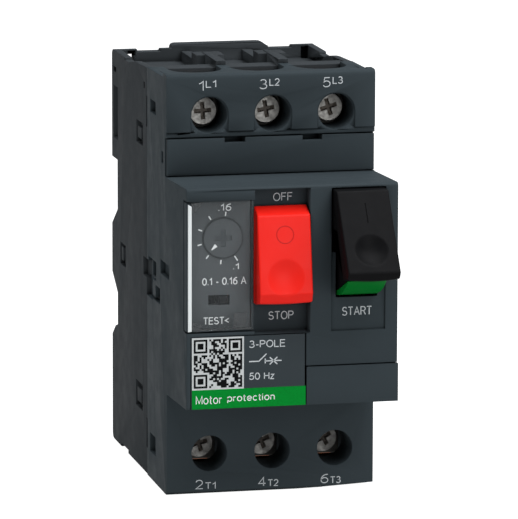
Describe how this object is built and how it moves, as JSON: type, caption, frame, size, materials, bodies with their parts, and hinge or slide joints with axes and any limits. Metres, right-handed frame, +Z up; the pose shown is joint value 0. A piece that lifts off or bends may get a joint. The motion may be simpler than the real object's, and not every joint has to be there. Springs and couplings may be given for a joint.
{
  "type": "motor protection breaker",
  "caption": "Three-pole motor protection breaker with stop and start rocker buttons, setting dial behind a window, screw terminals and a clip for a top-hat rail.",
  "frame": {"origin": "middle of the rail seat: the rail's centreline on the face that rests on the rail", "axes": "+X to the right seen from the front, +Y to the back towards the rail, +Z up"},
  "size_m": [0.0447, 0.0921, 0.089],
  "materials": {
    "housing": "fine matt grain",
    "cover": "fine matt grain",
    "black": "satin",
    "red": "satin",
    "green": "satin",
    "cream": "matt",
    "clear": "clear",
    "plate": "matt",
    "steel": "bright zinc",
    "copper": "bare copper",
    "bimetal": "bare metal"
  },
  "bodies": {
    "housing": {"base_housing": "housing", "front_cover": "cover", "contact_block_blank": "cover", "marker_plate": "cover", "rating_label": "plate", "scale_plate": "plate", "stop_shaft": "steel", "start_shaft": "steel", "mechanism_frame": "steel", "rail_clip_spring": "steel", "line_contact_1": "copper", "fixed_contact_1": "copper", "arc_chute_1": "steel", "trip_coil_1": "copper", "coil_plunger_1": "steel", "bimetal_1": "bimetal", "load_contact_1": "copper", "line_contact_2": "copper", "fixed_contact_2": "copper", "arc_chute_2": "steel", "trip_coil_2": "copper", "coil_plunger_2": "steel", "bimetal_2": "bimetal", "load_contact_2": "copper", "line_contact_3": "copper", "fixed_contact_3": "copper", "arc_chute_3": "steel", "trip_coil_3": "copper", "coil_plunger_3": "steel", "bimetal_3": "bimetal", "load_contact_3": "copper"},
    "start_button": {"start_cap": "black", "start_underside": "green"},
    "stop_button": {"stop_button": "red"},
    "drive_rod": {"drive_rod": "cream"},
    "carrier": {"contact_carrier": "cream", "moving_bridge_1": "copper", "contact_spring_1": "steel", "moving_bridge_2": "copper", "contact_spring_2": "steel", "moving_bridge_3": "copper", "contact_spring_3": "steel"},
    "trip_slide": {"trip_slide": "cream"},
    "trip_lever": {"trip_lever": "steel"},
    "test_slider": {"test_slider": "black"},
    "setting_dial": {"setting_dial": "plate"},
    "window_cover": {"window_cover": "clear"},
    "rail_clip": {"rail_clip": "black"},
    "line_clamp_1": {"line_clamp_1": "steel"},
    "line_screw_1": {"line_screw_1": "steel"},
    "line_clamp_2": {"line_clamp_2": "steel"},
    "line_screw_2": {"line_screw_2": "steel"},
    "line_clamp_3": {"line_clamp_3": "steel"},
    "line_screw_3": {"line_screw_3": "steel"},
    "load_clamp_1": {"load_clamp_1": "steel"},
    "load_screw_1": {"load_screw_1": "steel"},
    "load_clamp_2": {"load_clamp_2": "steel"},
    "load_screw_2": {"load_screw_2": "steel"},
    "load_clamp_3": {"load_clamp_3": "steel"},
    "load_screw_3": {"load_screw_3": "steel"}
  },
  "joints": [
    {"name": "start_tilt", "type": "hinge", "parent": "housing", "child": "start_button", "pos_m": [0.0138, -0.0684, 0.0196], "axis": [1, 0, 0], "range_deg": [0, 25]},
    {"name": "stop_tilt", "type": "hinge", "parent": "housing", "child": "stop_button", "pos_m": [-0.0021, -0.064, 0.0196], "axis": [1, 0, 0], "range_deg": [-25, 0]},
    {"name": "drive_rod_slide", "type": "slide", "parent": "housing", "child": "drive_rod", "axis": [0, 1, 0], "range_m": [0, 0.0032]},
    {"name": "carrier_slide", "type": "slide", "parent": "housing", "child": "carrier", "axis": [0, 1, 0], "range_m": [0, 0.0032]},
    {"name": "trip_slide_travel", "type": "slide", "parent": "housing", "child": "trip_slide", "axis": [-1, 0, 0], "range_m": [0, 0.0016], "stiffness_N_per_m": 150},
    {"name": "test_slider_travel", "type": "slide", "parent": "housing", "child": "test_slider", "axis": [-1, 0, 0], "range_m": [0, 0.0016]},
    {"name": "trip_lever_tilt", "type": "hinge", "parent": "housing", "child": "trip_lever", "pos_m": [-0.0093, -0.046, -0.024], "axis": [1, 0, 0], "range_deg": [0, 8]},
    {"name": "setting_dial_turn", "type": "hinge", "parent": "housing", "child": "setting_dial", "pos_m": [-0.014, -0.068, 0.013], "axis": [0, 1, 0], "range_deg": [-78, 142]},
    {"name": "window_hinge", "type": "hinge", "parent": "housing", "child": "window_cover", "pos_m": [-0.0214, -0.0706, 0.0075], "axis": [0, 0, -1], "range_deg": [0, 110]},
    {"name": "rail_clip_slide", "type": "slide", "parent": "housing", "child": "rail_clip", "axis": [0, 0, -1], "range_m": [0, 0.0035], "stiffness_N_per_m": 1200, "deforming": ["rail_clip_spring"]},
    {"name": "line_clamp_1_slide", "type": "slide", "parent": "housing", "child": "line_clamp_1", "axis": [0, 1, 0], "range_m": [0, 0.0042]},
    {"name": "line_screw_1_turn", "type": "hinge", "parent": "line_clamp_1", "child": "line_screw_1", "pos_m": [-0.0131, -0.044, 0.0358], "axis": [0, 1, 0], "range_deg": [0, 2160]},
    {"name": "line_clamp_2_slide", "type": "slide", "parent": "housing", "child": "line_clamp_2", "axis": [0, 1, 0], "range_m": [0, 0.0042]},
    {"name": "line_screw_2_turn", "type": "hinge", "parent": "line_clamp_2", "child": "line_screw_2", "pos_m": [0.0004, -0.044, 0.0358], "axis": [0, 1, 0], "range_deg": [0, 2160]},
    {"name": "line_clamp_3_slide", "type": "slide", "parent": "housing", "child": "line_clamp_3", "axis": [0, 1, 0], "range_m": [0, 0.0042]},
    {"name": "line_screw_3_turn", "type": "hinge", "parent": "line_clamp_3", "child": "line_screw_3", "pos_m": [0.0139, -0.044, 0.0358], "axis": [0, 1, 0], "range_deg": [0, 2160]},
    {"name": "load_clamp_1_slide", "type": "slide", "parent": "housing", "child": "load_clamp_1", "axis": [0, 1, 0], "range_m": [-0.0035, 0.0007]},
    {"name": "load_screw_1_turn", "type": "hinge", "parent": "load_clamp_1", "child": "load_screw_1", "pos_m": [-0.0131, -0.0405, -0.0358], "axis": [0, 1, 0], "range_deg": [-1800, 360]},
    {"name": "load_clamp_2_slide", "type": "slide", "parent": "housing", "child": "load_clamp_2", "axis": [0, 1, 0], "range_m": [-0.0035, 0.0007]},
    {"name": "load_screw_2_turn", "type": "hinge", "parent": "load_clamp_2", "child": "load_screw_2", "pos_m": [0.0004, -0.0405, -0.0358], "axis": [0, 1, 0], "range_deg": [-1800, 360]},
    {"name": "load_clamp_3_slide", "type": "slide", "parent": "housing", "child": "load_clamp_3", "axis": [0, 1, 0], "range_m": [-0.0035, 0.0007]},
    {"name": "load_screw_3_turn", "type": "hinge", "parent": "load_clamp_3", "child": "load_screw_3", "pos_m": [0.0139, -0.0405, -0.0358], "axis": [0, 1, 0], "range_deg": [-1800, 360]}
  ],
  "couplings": [
    {"joint": "stop_tilt", "follows": "start_tilt", "ratio": -1},
    {"joint": "drive_rod_slide", "follows": "start_tilt", "m_per_rad": 0.0073338},
    {"joint": "carrier_slide", "follows": "start_tilt", "m_per_rad": 0.0073338},
    {"joint": "test_slider_travel", "follows": "trip_slide_travel", "ratio": 1},
    {"joint": "trip_lever_tilt", "follows": "trip_slide_travel", "rad_per_m": 87.266},
    {"joint": "line_screw_1_turn", "follows": "line_clamp_1_slide", "rad_per_m": 8976},
    {"joint": "line_screw_2_turn", "follows": "line_clamp_2_slide", "rad_per_m": 8976},
    {"joint": "line_screw_3_turn", "follows": "line_clamp_3_slide", "rad_per_m": 8976},
    {"joint": "load_screw_1_turn", "follows": "load_clamp_1_slide", "rad_per_m": 8976},
    {"joint": "load_screw_2_turn", "follows": "load_clamp_2_slide", "rad_per_m": 8976},
    {"joint": "load_screw_3_turn", "follows": "load_clamp_3_slide", "rad_per_m": 8976}
  ]
}
